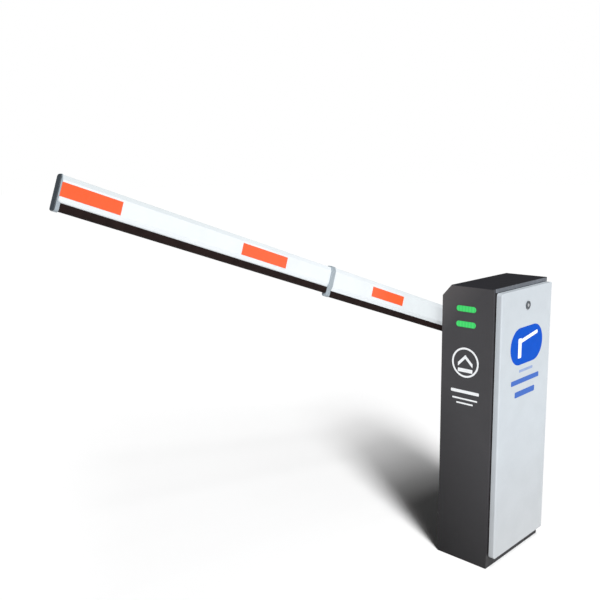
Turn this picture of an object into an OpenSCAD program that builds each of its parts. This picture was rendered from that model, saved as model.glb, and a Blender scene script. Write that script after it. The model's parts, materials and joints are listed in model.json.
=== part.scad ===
/* [Cabinet] */
// Depth of the cabinet, along the closed arm
cabinet_depth = 370; // [350:1:400]
// Width across the light panel
cabinet_width = 200; // [196:1:210]
// Height of the cabinet
cabinet_height = 1000; // [985:1:1040]
// Sheet steel thickness
sheet = 2; // [1.5:0.5:2]
// Width of the sloped top edge on the arm side
slope_width = 36; // [20:1:40]
// Height of the sloped top edge on the arm side
slope_height = 40; // [20:1:50]

/* [Door] */
// Gap between the door's edge and the cabinet's edge
door_inset = 9; // [8:1:14]
// Height of the plinth left bare under the door
door_bottom = 41; // [38:1:46]
// Strip of cabinet left bare above the door
door_top_gap = 14; // [10:1:20]
// Thickness of the door pan
door_thickness = 21; // [18:1:24]

/* [Arm] */
// Angle of the arm above the horizontal in the rest pose
arm_angle = 18.75; // [0:0.05:90]
// Height of the main shaft above the floor
shaft_height = 830; // [826:0.5:836]
// Distance from the shaft to the outer end of the tip tube
arm_reach = 1680; // [1500:1:2400]
// Distance from the shaft to the joint collar
collar_at = 767; // [600:1:800]
// Gap between the cabinet wall and the arm
arm_gap = 30; // [30:1:34]

/* [Boom profile] */
// Height of the root tube
root_height = 71; // [66:1:76]
// Width of the root tube
root_width = 24; // [23:1:30]
// Wall of both tubes
tube_wall = 2; // [1.5:0.1:2]
// Height of the rubber edge strip
bumper_height = 19; // [16:1:22]

/* [Reflectors] */
// Length of the reflective panels along the arm
reflector_length = 172; // [120:1:180]
// Length of the reflective panel at the arm's end
end_reflector_length = 156; // [100:1:180]
// Height of a reflective panel
reflector_height = 31.5; // [25:0.5:34]

/* [Drive] */
// Radius of the crank and of the lever that it drives
crank_radius = 70; // [65:1:72]
// Height of the gearbox output shaft above the floor
output_height = 560; // [550:1:570]
// Teeth on the worm wheel
wheel_teeth = 40; // [40:1:40]

/* [Hidden] */
$fn = 64;
eps = 0.01;

cabinet_grey = [0.20, 0.20, 0.205];
steel = [0.62, 0.63, 0.65];
zinc = [0.72, 0.72, 0.70];
rubber_black = [0.05, 0.045, 0.045];
board_green = [0.06, 0.30, 0.16];
lens_green = [0.16, 0.85, 0.36];
boom_white = [0.93, 0.94, 0.95];
band_grey = [0.70, 0.75, 0.79];
reflector_orange = [1.0, 0.36, 0.16];
door_silver = [0.84, 0.87, 0.90];

// Cabinet outline in the plane across the arm
half_w = cabinet_width / 2;
half_d = cabinet_depth / 2;
inner_w = half_w - sheet;
inner_d = half_d - sheet;
slope_run = norm([slope_width, slope_height]);
// y of the sloped wall at height z, moved inwards by inset
function slope_y(z, inset = 0) =
    half_w - (inset * slope_run + slope_width * (z - (cabinet_height - slope_height))) / slope_height;
// z at which the sloped wall, moved inwards by inset, meets the vertical wall
function slope_foot(inset = 0) =
    cabinet_height - slope_height - inset * (slope_run - slope_height) / slope_width;

// Door opening and door
opening_half_d = half_d - 25;
opening_bottom = 62;
opening_top = cabinet_height - 30;
gasket = 5;
door_half_d = half_d - door_inset;
door_top = cabinet_height - door_top_gap;
door_back_y = -half_w - gasket;
door_front_y = door_back_y - door_thickness;
door_edge_r = 5;
door_hinge_y = door_back_y - 5;
door_hinge_z = door_bottom + 7;
hinge_x = 130;
hinge_pin_r = 3;
lock_z = cabinet_height - 75;
lock_plug_r = 5.5;
lock_r = 11;

// Signal lights
lens_length = 77;
lens_height = 20.5;
lens_corner = 10;
upper_lens_z = cabinet_height - 78.5;
lower_lens_z = cabinet_height - 132.5;
lens_collar = 6;
lens_y = 4;

// Main shaft and its housing
shaft_r = 17.5;
fit = 0.05;
plate_front_y = 70;
plate_t = 8;
plate_back_y = plate_front_y + plate_t;
housing_front_y = 10;
housing_r = 40;
bearing_r = 31;
bearing_t = 14;
wall_hole_r = 24;

// Gearbox, worm and motor
module_mm = 2;
worm_pitch = PI * module_mm;
wheel_r = wheel_teeth * module_mm / 2;
worm_r = 12;
worm_x = wheel_r + worm_r;
worm_y = 46;
worm_wobble = 2.2;
wheel_width = 10;
gear_back_y = 64;
gear_front_y = 22;
cover_front_y = 16;
gear_bottom_z = output_height - 55;
gear_top_z = output_height + 55;
output_r = 12.5;
motor_r = 38;
motor_length = 130;
motor_bottom_z = gear_bottom_z - 10 - motor_length;

// Levers: pieces that share the crank's plane
lever_y = [-4, 8];
pin_r = 7;
lever_end_r = 15;
lever_phase = 45;
lever_angle = arm_angle - lever_phase;
rod_span = [-17, -7];
rod_length = shaft_height - output_height;
spring_turns = 7;
spring_wire = 2.5;
spring_pitch = 4.8;
spring_mean_r = 27;
spring_start_y = -24;
anchor_x = 66;

// Arm: x runs back from the tip, so the arm lies on the negative side
root_face_y = half_w + arm_gap;
root_mid_y = root_face_y + root_width / 2;
slide_gap = 0.5;
tip_width = root_width - 2 * (tube_wall + slide_gap);
tip_height = root_height - 10.5;
tip_mid_z = root_height / 2 - tube_wall - slide_gap - tip_height / 2;
chamfer_x = 6;
chamfer_z = 12;
bumper_width = 14;
bracket_half = 72;
root_tail = 84;
collar_length = 10;
cap_band = 3.5;
cap_boot = 11;
cap_plate = 2;
overlap_length = 300;
bracket_t = 8;
flange_t = 12;
flange_r = 52;
clamp_bolt_x = 52;
clamp_bolt_z = root_height / 2 + 15;
reflector_t = 0.6;
reflector_z = -13.6 + reflector_height / 2;

// Puts a part's local frame on the raised arm
module on_arm() {
    translate([0, 0, shaft_height]) rotate([0, arm_angle, 0]) children();
}

// Extrudes a y-z outline along x
module along_x(length, center = false) {
    rotate([90, 0, 90]) linear_extrude(length, center = center) children();
}

// Extrudes an x-z outline from y0 to y1
module between_y(y0, y1) {
    translate([0, y1, 0]) rotate([90, 0, 0]) linear_extrude(y1 - y0) children();
}

// Cylinder along y from y0 to y1
module rod_y(r, y0, y1, x = 0, z = 0) {
    translate([x, y1, z]) rotate([90, 0, 0]) cylinder(r = r, h = y1 - y0);
}

// Flat outline with rounded corners
module rounded(size, r) {
    square([size.x - 2 * r, size.y], center = true);
    square([size.x, size.y - 2 * r], center = true);
    for (x = [-1, 1], y = [-1, 1])
        translate([x * (size.x / 2 - r), y * (size.y / 2 - r)]) circle(r);
}

// Tapered lever outline from a hub at the origin to an eye at [length, 0]
module lever_outline(hub_r, end_r, length) {
    lean = asin((hub_r - end_r) / length);
    circle(hub_r);
    translate([length, 0]) circle(end_r);
    polygon([
        hub_r * [sin(lean), cos(lean)],
        [length, 0] + end_r * [sin(lean), cos(lean)],
        [length, 0] + end_r * [sin(lean), -cos(lean)],
        hub_r * [sin(lean), -cos(lean)]
    ]);
}

// Hexagon-headed screw along -y, with its head's underside at y = 0
module hex_screw(r, length, head_r, head_t) {
    rod_y(head_r, -head_t, 0, $fn = 6);
    rod_y(r, -eps, length);
}

// ---------------------------------------------------------------- cabinet

module cabinet_outline() {
    polygon([
        [-half_w, 0], [half_w, 0], [half_w, slope_foot()],
        [slope_y(cabinet_height - sheet), cabinet_height - sheet],
        [-half_w, cabinet_height - sheet]
    ]);
}

module cabinet_cavity() {
    over = cabinet_height + 1;
    polygon([
        [-inner_w, -1], [inner_w, -1], [inner_w, slope_foot(sheet)],
        [slope_y(over, sheet), over], [-inner_w, over]
    ]);
}

module lens_window(grow = 0) {
    rounded([lens_length + 2 * grow, lens_height + 2 * grow], lens_corner + grow);
}

module vent_slots() {
    slot_pitch = 14;
    for (row = [0:6])
        translate([half_d - sheet - 1, 0, 90 + row * slot_pitch])
            along_x(sheet + 2) rounded([90, 5], 2.4);
}

module cabinet_shell() {
    color(cabinet_grey) difference() {
        along_x(cabinet_depth, center = true) cabinet_outline();
        along_x(2 * inner_d, center = true) cabinet_cavity();
        translate([-opening_half_d, -half_w - 1, opening_bottom])
            cube([2 * opening_half_d, sheet + 2, opening_top - opening_bottom]);
        for (z = [upper_lens_z, lower_lens_z])
            translate([-half_d - 1, lens_y, z]) along_x(sheet + 2) lens_window();
        rod_y(wall_hole_r, inner_w - 1, half_w + 1, z = shaft_height);
        vent_slots();
    }
}

module top_cover() {
    lip = 18;
    lip_t = 1.5;
    lip_top = cabinet_height - sheet;
    lip_y = slope_y(lip_top, sheet) - 12;
    color([0.07, 0.07, 0.08]) union() {
        along_x(cabinet_depth, center = true) polygon([
            [-half_w, lip_top], [slope_y(lip_top), lip_top],
            [slope_y(cabinet_height), cabinet_height], [-half_w, cabinet_height]
        ]);
        for (side = [-1, 1])
            translate([side * (inner_d - 2) - (side > 0 ? lip_t : 0), -inner_w + 6, lip_top - lip])
                cube([lip_t, lip_y + inner_w - 6, lip + eps]);
        translate([-inner_d + 2, lip_y - lip_t, lip_top - lip]) cube([2 * inner_d - 4, lip_t, lip + eps]);
    }
}

base_t = 8;
bolt_x = 150;
bolt_y = 65;
bolt_hole_r = 9;
entry_x = -45;
entry_r = 40;
grommet_wall = 5;

module base_plate() {
    color(zinc) difference() {
        translate([-inner_d, -inner_w, 0]) cube([2 * inner_d, 2 * inner_w, base_t]);
        for (x = [-1, 1], y = [-1, 1])
            translate([x * bolt_x, y * bolt_y, -1]) cylinder(r = bolt_hole_r, h = base_t + 2);
        translate([entry_x, 0, -1]) cylinder(r = entry_r + grommet_wall, h = base_t + 2);
    }
}

// Rubber edging of the hole that the supply cables come up through
module cable_grommet() {
    rise = 10;
    color(rubber_black) translate([entry_x, 0, 0]) difference() {
        union() {
            cylinder(r = entry_r + grommet_wall, h = base_t + rise);
            translate([0, 0, base_t]) cylinder(r = entry_r + 2 * grommet_wall, h = 3);
        }
        translate([0, 0, -1]) cylinder(r = entry_r, h = base_t + rise + 2);
    }
}

// Aluminium moulding over the door that throws rain clear of the gap
module drip_strip() {
    low = door_top + 0.8;
    high = cabinet_height - 0.5;
    color(band_grey) translate([-door_half_d, -half_w, 0]) along_x(2 * door_half_d) polygon([
        [0, low], [-4, low], [-4, low + 2.5], [-1.5, high], [0, high]
    ]);
}

gasket_strip = 11;

module door_gasket() {
    bottom = door_hinge_z + 7;
    top = door_top - 2;
    half = door_half_d - 2;
    color(rubber_black) translate([0, -half_w, 0]) between_y(-gasket, 0) difference() {
        translate([-half, bottom]) square([2 * half, top - bottom]);
        translate([-half + gasket_strip, bottom + gasket_strip])
            square([2 * (half - gasket_strip), top - bottom - 2 * gasket_strip]);
    }
}

module light_lens(z) {
    proud = 1.2;
    color(lens_green) translate([0, lens_y, z]) {
        translate([-half_d - proud, 0, 0]) along_x(sheet + proud + eps) lens_window(-0.15);
        translate([-inner_d, 0, 0]) along_x(2.5) lens_window(lens_collar);
    }
}

module upper_light_lens() {
    light_lens(upper_lens_z);
}

module lower_light_lens() {
    light_lens(lower_lens_z);
}

module light_board() {
    board_x = -inner_d + 9;
    mid_z = (upper_lens_z + lower_lens_z) / 2;
    pillar = 2.6;
    lamps = 6;
    color(board_green) union() {
        translate([board_x, -58, mid_z - 55]) cube([1.6, 116, 110]);
        for (z = [upper_lens_z, lower_lens_z], lamp = [0:lamps - 1])
            translate([board_x - 1.4, lens_y - 32.5 + lamp * 12, z - 2.5]) cube([1.4 + eps, 5, 5]);
        for (y = [-52, 52], z = [mid_z - 49, mid_z + 49])
            translate([-inner_d, y, z]) rotate([0, 90, 0]) cylinder(r = pillar, h = 9 + eps, $fn = 24);
    }
}

module shaft_rosette() {
    color([0.12, 0.12, 0.125]) translate([0, 0, shaft_height]) difference() {
        union() {
            rod_y(58, half_w, half_w + 3);
            rod_y(34, half_w, half_w + 5);
        }
        rod_y(shaft_r + 1, half_w - 1, half_w + 6);
    }
}

// ---------------------------------------------------------------- machine plate

plate_min = [-95, gear_bottom_z - 6];
plate_max = [120, 930];
plate_corner = 14;
standoffs = [for (x = [plate_min.x + 16, plate_max.x - 16], z = [plate_min.y + 16, plate_max.y - 16]) [x, z]];
housing_bolts_r = 48;
drive_bolt_r = 3.2;
drive_bolt_head_r = 5.8;
drive_hole_r = drive_bolt_r + 0.1;
housing_bolt_angles = [0, 60, 120, 180, 240, 300];
gearbox_bolt_xz = [for (x = [-42, 30], z = [gear_bottom_z + 8, gear_top_z - 8]) [x, z]];
stop_r = 72;
buffer_r = 10;
lever_hub_r = 28;
lever_lean = asin((lever_hub_r - lever_end_r) / crank_radius);
stop_gap = 0.5;
stop_turn = lever_phase + asin((lever_hub_r + buffer_r + stop_gap) / stop_r) - lever_lean;
function stop_xz(side) = [-stop_r * cos(stop_turn), shaft_height + side * stop_r * sin(stop_turn)];

module machine_plate() {
    size = plate_max - plate_min;
    middle = (plate_max + plate_min) / 2;
    color(zinc) difference() {
        between_y(plate_front_y, plate_back_y) translate(middle) rounded(size, plate_corner);
        rod_y(25, plate_front_y - 1, plate_back_y + 1, z = shaft_height);
        for (p = standoffs) rod_y(5.2, plate_front_y - 1, plate_back_y + 1, p.x, p.y);
        for (side = [-1, 1])
            rod_y(4.2, plate_front_y - 1, plate_back_y + 1, stop_xz(side).x, stop_xz(side).y);
        for (a = housing_bolt_angles)
            rod_y(drive_hole_r, plate_front_y - 1, plate_back_y + 1,
                  housing_bolts_r * cos(a), shaft_height + housing_bolts_r * sin(a));
    }
}

// Spacer tubes between the plate and the arm-side wall, each with its screw
module plate_standoffs() {
    color(steel) for (p = standoffs) translate([p.x, 0, p.y]) {
        rod_y(10, plate_back_y, inner_w);
        translate([0, plate_front_y, 0]) hex_screw(5, plate_t + eps, 9, 6);
    }
}

module bearing_housing() {
    color([0.30, 0.36, 0.42]) translate([0, 0, shaft_height]) difference() {
        union() {
            rod_y(housing_r, housing_front_y, plate_front_y);
            rod_y(57, plate_front_y - 10, plate_front_y);
        }
        rod_y(25, housing_front_y - 1, plate_front_y + 1);
        rod_y(bearing_r + 0.1, housing_front_y - 1, housing_front_y + bearing_t + 2);
        rod_y(bearing_r + 0.1, plate_front_y - bearing_t, plate_front_y + 1);
        for (a = housing_bolt_angles)
            rod_y(drive_hole_r, plate_front_y - 11, plate_front_y + 1,
                  housing_bolts_r * cos(a), housing_bolts_r * sin(a));
    }
}

// Two ball bearings, each drawn as one ring with a shield groove
module shaft_bearings() {
    color(steel) for (y = [housing_front_y + 2, plate_front_y - bearing_t])
        translate([0, y, shaft_height]) difference() {
            rod_y(bearing_r, 0, bearing_t);
            rod_y(shaft_r + fit, -1, bearing_t + 1);
            for (face = [-1, bearing_t - 1]) difference() {
                rod_y(27, face, face + 2);
                rod_y(22, face - 1, face + 3);
            }
        }
}

// The same screw holds the bearing housing and the gearbox to the plate
module drive_bolts() {
    color(zinc) {
        for (a = housing_bolt_angles)
            translate([housing_bolts_r * cos(a), plate_front_y - 10, shaft_height + housing_bolts_r * sin(a)])
                hex_screw(drive_bolt_r, 17, drive_bolt_head_r, 4);
        for (p = gearbox_bolt_xz)
            translate([p.x, cover_front_y, p.y])
                hex_screw(drive_bolt_r, plate_front_y - cover_front_y, drive_bolt_head_r, 4);
    }
}

module stop_studs() {
    color(steel) for (side = [-1, 1]) translate([stop_xz(side).x, 0, stop_xz(side).y]) {
        rod_y(4, lever_y[0] - 4, plate_back_y);
        rod_y(7, lever_y[1] + 2, plate_front_y);
        rod_y(7.5, lever_y[0] - 8, lever_y[0] - 2, $fn = 6);
    }
}

module stop_buffers() {
    color(rubber_black) for (side = [-1, 1]) translate([stop_xz(side).x, 0, stop_xz(side).y]) difference() {
        rod_y(buffer_r, lever_y[0] - 2, lever_y[1] + 2);
        rod_y(4.05, lever_y[0] - 3, lever_y[1] + 3);
    }
}

module position_sensor() {
    color([0.08, 0.08, 0.09]) translate([0, 0, shaft_height]) {
        translate([-14, inner_w - 9, 22]) cube([28, 9, 22]);
        translate([-8, inner_w - 10, 26]) cube([16, 1 + eps, 10]);
    }
}

// ---------------------------------------------------------------- gearbox and motor

cavity_r = wheel_r + 4;

module gear_case_outline() {
    corner = 10;
    wide = worm_x + 24 + 52;
    translate([(worm_x + 24 - 52) / 2, output_height]) rounded([wide, gear_top_z - gear_bottom_z], corner);
}

module gearbox_housing() {
    color([0.45, 0.47, 0.50]) difference() {
        union() {
            between_y(gear_front_y, plate_front_y) gear_case_outline();
            translate([worm_x, worm_y, gear_bottom_z - 10]) cylinder(r = 23, h = 10 + eps);
            translate([worm_x, worm_y, gear_top_z - eps]) cylinder(r = 21, h = 8);
        }
        rod_y(cavity_r, gear_front_y - 1, gear_back_y, z = output_height);
        rod_y(output_r + fit, gear_back_y - 1, plate_front_y + 1, z = output_height);
        translate([worm_x, worm_y, gear_bottom_z + 12])
            cylinder(r = 16.5, h = gear_top_z - gear_bottom_z - 24);
        translate([worm_x, worm_y, gear_bottom_z - 11])
            cylinder(r = 8 + fit, h = gear_top_z - gear_bottom_z + 30);
        for (p = gearbox_bolt_xz) rod_y(drive_hole_r, gear_front_y - 1, plate_front_y + 1, p.x, p.y);
    }
}

module gearbox_cover() {
    color([0.52, 0.54, 0.57]) difference() {
        union() {
            between_y(cover_front_y, gear_front_y) gear_case_outline();
            rod_y(24, cover_front_y - 4, cover_front_y + eps, z = output_height);
        }
        rod_y(output_r + fit, cover_front_y - 5, gear_front_y + 1, z = output_height);
        for (p = gearbox_bolt_xz) rod_y(drive_hole_r, cover_front_y - 1, gear_front_y + 1, p.x, p.y);
    }
}

// Finned motor can with its mounting flange
module motor_body() {
    fin_count = 18;
    fin_top = gear_bottom_z - 24;
    shaft_hole_r = 8.3;
    color([0.16, 0.17, 0.19]) translate([worm_x, worm_y, 0]) difference() {
        union() {
            translate([0, 0, motor_bottom_z]) cylinder(r = motor_r - 3, h = motor_length);
            translate([0, 0, gear_bottom_z - 18]) linear_extrude(8) rounded([76, 46], 8);
            translate([0, 0, motor_bottom_z + 4]) for (i = [0:fin_count - 1]) rotate(i * 360 / fin_count)
                translate([motor_r - 4, -1.2, 0]) cube([4, 2.4, fin_top - motor_bottom_z - 4]);
        }
        translate([0, 0, gear_bottom_z - 40]) cylinder(r = shaft_hole_r, h = 40);
    }
}

module motor_end_cap() {
    color([0.10, 0.10, 0.11]) translate([worm_x, worm_y, motor_bottom_z - 16]) {
        translate([0, 0, 4]) cylinder(r = motor_r - 2, h = 12);
        cylinder(r1 = motor_r - 10, r2 = motor_r - 2, h = 4 + eps);
    }
}

// ---------------------------------------------------------------- balance spring

anchor_z = shaft_height + spring_mean_r;
anchor_r = 6;

// Stud that holds the fixed end of the balance spring
module spring_anchor() {
    color(steel) translate([anchor_x, 0, anchor_z]) {
        rod_y(anchor_r, spring_start_y - 10, plate_front_y);
        rod_y(10, spring_start_y - 14, spring_start_y - 4, $fn = 6);
        rod_y(10, spring_start_y + 4, spring_start_y + 12, $fn = 6);
        rod_y(12, plate_front_y - 8, plate_front_y, $fn = 6);
    }
}

// Torsion spring round the shaft, drawn as close-wound turns with one leg to its anchor
module balance_spring() {
    leg_r = spring_wire - 0.3;
    color([0.09, 0.09, 0.10]) translate([0, spring_start_y, shaft_height]) {
        rotate([90, 0, 0]) rotate_extrude() for (turn = [0:spring_turns - 1])
            translate([spring_mean_r, turn * spring_pitch]) circle(spring_wire, $fn = 24);
        translate([0, 0, spring_mean_r]) rotate([0, 90, 0])
            cylinder(r = leg_r, h = anchor_x - anchor_r - leg_r, $fn = 24);
        translate([anchor_x, 0, spring_mean_r]) rotate([90, 0, 0])
            rotate_extrude() translate([anchor_r + spring_wire + 0.1, 0]) circle(spring_wire, $fn = 24);
    }
}

// ---------------------------------------------------------------- electrics

box_min = [-inner_d + 4, -60, 300];
box_size = [78, 118, 420];

module control_box() {
    wall = 2.5;
    color([0.78, 0.79, 0.78]) union() {
        difference() {
            translate(box_min) cube(box_size);
            translate(box_min + [wall, -1, wall]) cube(box_size + [-2 * wall, 1 - wall, -2 * wall]);
        }
        for (z = [box_min.z + 30, box_min.z + box_size.z - 60])
            translate([-inner_d, -20, z]) cube([4 + eps, 40, 30]);
    }
}

module control_box_lid() {
    lid_t = 3;
    color([0.86, 0.87, 0.86]) translate([box_min.x, box_min.y - lid_t, box_min.z]) union() {
        cube([box_size.x, lid_t, box_size.z]);
        for (x = [9, box_size.x - 9], z = [9, box_size.z - 9])
            translate([x, 0, z]) rod_y(4, -1.5, eps, $fn = 24);
    }
}

module control_board() {
    back = box_min.y + box_size.y - 2.5;
    color(board_green) translate([box_min.x + 7, 0, box_min.z + 20]) {
        translate([0, back - 12, 0]) cube([64, 1.6, 380]);
        for (z = [30:60:330]) translate([8, back - 34, z]) cube([20, 22 + eps, 28]);
        for (z = [40:75:340]) translate([46, back - 12 + eps, z]) rotate([90, 0, 0]) cylinder(r = 8, h = 30);
        for (x = [6, 58], z = [8, 372]) translate([x, back, z]) rotate([90, 0, 0])
            cylinder(r = 3, h = 11, $fn = 24);
    }
}

module power_supply() {
    lo = [108, -60, 250];
    size = [inner_d - 108, 110, 190];
    wall = 1.2;
    color(steel) difference() {
        translate(lo) cube(size);
        translate(lo + [wall, wall, wall]) cube(size - 2 * [wall, wall, wall]);
        for (z = [20:12:170]) translate(lo + [12, -1, z]) cube([size.x - 24, 4, 6]);
    }
}

rail_z = 212;

module din_rail() {
    color(zinc) union() {
        translate([-165, inner_w - 1.5, rail_z - 12]) cube([180, 1.5, 24]);
        for (z = [rail_z - 17.5, rail_z + 11]) translate([-165, inner_w - 7.5, z]) cube([180, 1.5, 6.5]);
        for (z = [rail_z - 12.5, rail_z + 11]) translate([-165, inner_w - 7.5, z]) cube([180, 7.5, 1.5]);
    }
}

breaker_x = -150;
breaker_w = 36;
breaker_front = 30;
toggle_y = breaker_front + 4;
toggle_slot = [16, 26];

module circuit_breaker() {
    back = inner_w - 8;
    color([0.88, 0.88, 0.86]) difference() {
        union() {
            translate([breaker_x, breaker_front + 18, rail_z - 42])
                cube([breaker_w, back - breaker_front - 18, 84]);
            translate([breaker_x, breaker_front, rail_z - 23]) cube([breaker_w, 18 + eps, 46]);
        }
        translate([breaker_x + breaker_w / 2 - toggle_slot.x / 2, breaker_front - 1,
                   rail_z - toggle_slot.y / 2])
            cube([toggle_slot.x, 14, toggle_slot.y]);
        for (x = [9, 27], z = [-34, 34])
            rod_y(3.5, breaker_front + 17, breaker_front + 24, breaker_x + x, rail_z + z);
    }
}

module breaker_toggle() {
    color([0.10, 0.20, 0.55]) translate([breaker_x + breaker_w / 2, toggle_y, rail_z]) rotate([25, 0, 0]) {
        translate([-7, 0, 0]) rotate([0, 90, 0]) cylinder(r = 7, h = 14);
        translate([-6, -14, -3]) cube([12, 14, 6]);
    }
}

module terminal_block() {
    ways = 12;
    pitch = 8;
    back = inner_w - 8;
    color([0.55, 0.57, 0.58]) translate([-100, 0, rail_z - 24]) difference() {
        translate([0, back - 42, 0]) cube([ways * pitch, 42, 48]);
        for (way = [0:ways - 1], z = [8, 40]) translate([pitch * (way + 0.5), 0, z])
            rod_y(2.6, back - 43, back - 34);
    }
}

// ---------------------------------------------------------------- door

module door_slab(front_y, back_y, half, r) {
    slab = back_y - front_y;
    translate([0, front_y]) {
        translate([-half, r]) square([2 * half, slab - r]);
        translate([-half + r, 0]) square([2 * (half - r), slab]);
        for (side = [-1, 1]) translate([side * (half - r), r]) circle(r);
    }
}

knuckle_notch = 25;

door_corner_r = 10;

// Closed pan form, drawn in by the sheet's thickness for its hollow
module door_form(inset, back_y) {
    height = door_top - door_bottom;
    intersection() {
        translate([0, 0, door_bottom]) linear_extrude(height)
            door_slab(door_front_y + inset, back_y, door_half_d - inset, door_edge_r - inset);
        between_y(door_front_y - 1, back_y + 1) translate([0, door_bottom + height / 2])
            rounded([2 * (door_half_d - inset), height - 2 * inset], door_corner_r - inset);
    }
}

module door_panel() {
    color(door_silver) difference() {
        door_form(0, door_back_y);
        door_form(sheet, door_back_y + 1);
        for (side = [-1, 1])
            translate([side * hinge_x - knuckle_notch / 2, door_hinge_y - 8, door_bottom - 1])
                cube([knuckle_notch, 20, sheet + 2]);
        rod_y(lock_r + 0.1, door_front_y - 1, door_front_y + sheet + 1, z = lock_z);
    }
}

// Top-hat channels bonded to the inside of the skin
module door_stiffeners() {
    bottom = door_bottom + 40;
    top = door_top - 110;
    depth = 14;
    wall = 1.5;
    skin = door_front_y + sheet;
    color(zinc) for (x = [-90, 90]) translate([x, 0, 0]) {
        for (s = [-1, 1]) {
            translate([s * 22 - 8, skin, bottom]) cube([16, wall, top - bottom]);
            translate([s * 15 - wall / 2, skin, bottom]) cube([wall, depth, top - bottom]);
        }
        translate([-15 - wall / 2, skin + depth - wall, bottom]) cube([30 + wall, wall, top - bottom]);
    }
}

// Fixed hinge blocks on the sill, reaching into the door pan
module door_hinge_leaves() {
    block = 20;
    color(steel) for (side = [-1, 1]) translate([side * hinge_x - block / 2, 0, 0]) difference() {
        union() {
            translate([0, door_hinge_y, door_hinge_z - 4]) cube([block, -half_w - door_hinge_y, 8]);
            translate([0, door_hinge_y, door_hinge_z]) rotate([0, 90, 0]) cylinder(r = 4.6, h = block);
        }
        translate([-1, door_hinge_y, door_hinge_z]) rotate([0, 90, 0])
            cylinder(r = hinge_pin_r + fit, h = block + 2);
    }
}

module door_knuckles() {
    block = 8;
    color(steel) for (side = [-1, 1], end = [-1, 1])
        translate([side * hinge_x + end * (knuckle_notch / 2 + block / 2 - 1) - block / 2, 0, 0])
        difference() {
            union() {
                translate([0, door_hinge_y - 4.6, door_bottom + sheet])
                    cube([block, 9.2, door_hinge_z - door_bottom - sheet]);
                translate([0, door_hinge_y, door_hinge_z]) rotate([0, 90, 0]) cylinder(r = 4.6, h = block);
            }
            translate([-1, door_hinge_y, door_hinge_z]) rotate([0, 90, 0])
                cylinder(r = hinge_pin_r + fit, h = block + 2);
        }
}

module door_hinge_pins() {
    length = 40;
    color(zinc) for (side = [-1, 1]) translate([side * hinge_x - length / 2, door_hinge_y, door_hinge_z])
        rotate([0, 90, 0]) {
            cylinder(r = hinge_pin_r, h = length);
            translate([0, 0, -2]) cylinder(r = hinge_pin_r + 1.5, h = 2 + eps);
        }
}

lock_back_y = -92;

module lock_body() {
    color([0.16, 0.18, 0.20]) translate([0, 0, lock_z]) difference() {
        union() {
            rod_y(lock_r + 3.5, door_front_y - 3, door_front_y);
            rod_y(lock_r, door_front_y - 1, lock_back_y - 5);
            rod_y(16, door_front_y + sheet, door_front_y + sheet + 6, $fn = 6);
        }
        rod_y(lock_plug_r + fit, door_front_y - 4, lock_back_y);
        rod_y(lock_r, door_front_y - 4, door_front_y - 1.8);
    }
}

module lock_plug() {
    color([0.75, 0.76, 0.78]) translate([0, 0, lock_z]) difference() {
        rod_y(lock_plug_r, door_front_y - 2.6, lock_back_y);
        translate([-0.9, door_front_y - 4, -3.5]) cube([1.8, 8, 7]);
    }
}

// The locking tongue, turned aside; a quarter turn brings it up behind the top edge of the opening
module lock_cam() {
    reach = 62;
    color(steel) translate([0, 0, lock_z]) {
        translate([-10, lock_back_y - 3 + eps, -9]) difference() {
            cube([reach + 10, 3, 18]);
            translate([10, 0, 9]) rod_y(lock_plug_r + fit, -1, 4);
        }
        rod_y(lock_plug_r + 5, lock_back_y, lock_back_y + 4, $fn = 6);
    }
}

// ---------------------------------------------------------------- main shaft and levers

shaft_inner_y = -74;
flange_y = root_face_y - bracket_t - flange_t;

module main_shaft() {
    color(steel) on_arm() union() {
        rod_y(shaft_r, shaft_inner_y, flange_y + flange_t);
        rod_y(shaft_r - 4, shaft_inner_y - 3, shaft_inner_y + eps);
    }
}

module shaft_flange() {
    color([0.34, 0.35, 0.37]) on_arm() difference() {
        rod_y(flange_r, flange_y, flange_y + flange_t);
        rod_y(shaft_r + fit, flange_y - 1, flange_y + flange_t + 1);
        for (a = [45:90:315]) rod_y(4.2, flange_y - 1, flange_y + flange_t + 1, 38 * cos(a), 38 * sin(a));
    }
}

module position_disc() {
    color([0.70, 0.70, 0.72]) on_arm() difference() {
        rod_y(40, 83, 86);
        rod_y(shaft_r + fit, 82, 87);
        rotate([0, 60, 0]) translate([-60, 82, 24]) cube([60, 5, 60]);
    }
}

module lever_bore() {
    rod_y(shaft_r + fit, -200, 200);
}

module rod_lever() {
    color([0.40, 0.42, 0.45]) translate([0, 0, shaft_height]) rotate([0, 180 + lever_angle, 0]) union() {
        difference() {
            between_y(lever_y[0], lever_y[1]) lever_outline(lever_hub_r, lever_end_r, crank_radius);
            lever_bore();
        }
        rod_y(pin_r, rod_span[0] - 4, lever_y[0] + eps, crank_radius);
    }
}

// Grooved collar that the moving end of the balance spring is held in
module spring_collar() {
    last_turn = spring_start_y - (spring_turns - 1) * spring_pitch;
    color([0.40, 0.42, 0.45]) on_arm() difference() {
        rod_y(spring_mean_r + 9, last_turn - 12, last_turn + 1);
        lever_bore();
        rod_y(spring_mean_r + 4, last_turn - 4, last_turn + 2);
        rotate([0, 45, 0]) translate([0, last_turn - 8, 0]) cylinder(r = 3, h = spring_mean_r + 10);
    }
}

// ---------------------------------------------------------------- arm

module octagon(width, height, cx, cz) {
    polygon([for (c = [
        [width / 2, height / 2 - cz], [width / 2 - cx, height / 2],
        [-width / 2 + cx, height / 2], [-width / 2, height / 2 - cz],
        [-width / 2, -height / 2 + cz], [-width / 2 + cx, -height / 2],
        [width / 2 - cx, -height / 2], [width / 2, -height / 2 + cz]
    ]) c]);
}

module root_outline(grow = 0) {
    octagon(root_width + 2 * grow, root_height + 2 * grow, chamfer_x + grow / 2, chamfer_z + grow / 2);
}

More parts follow.
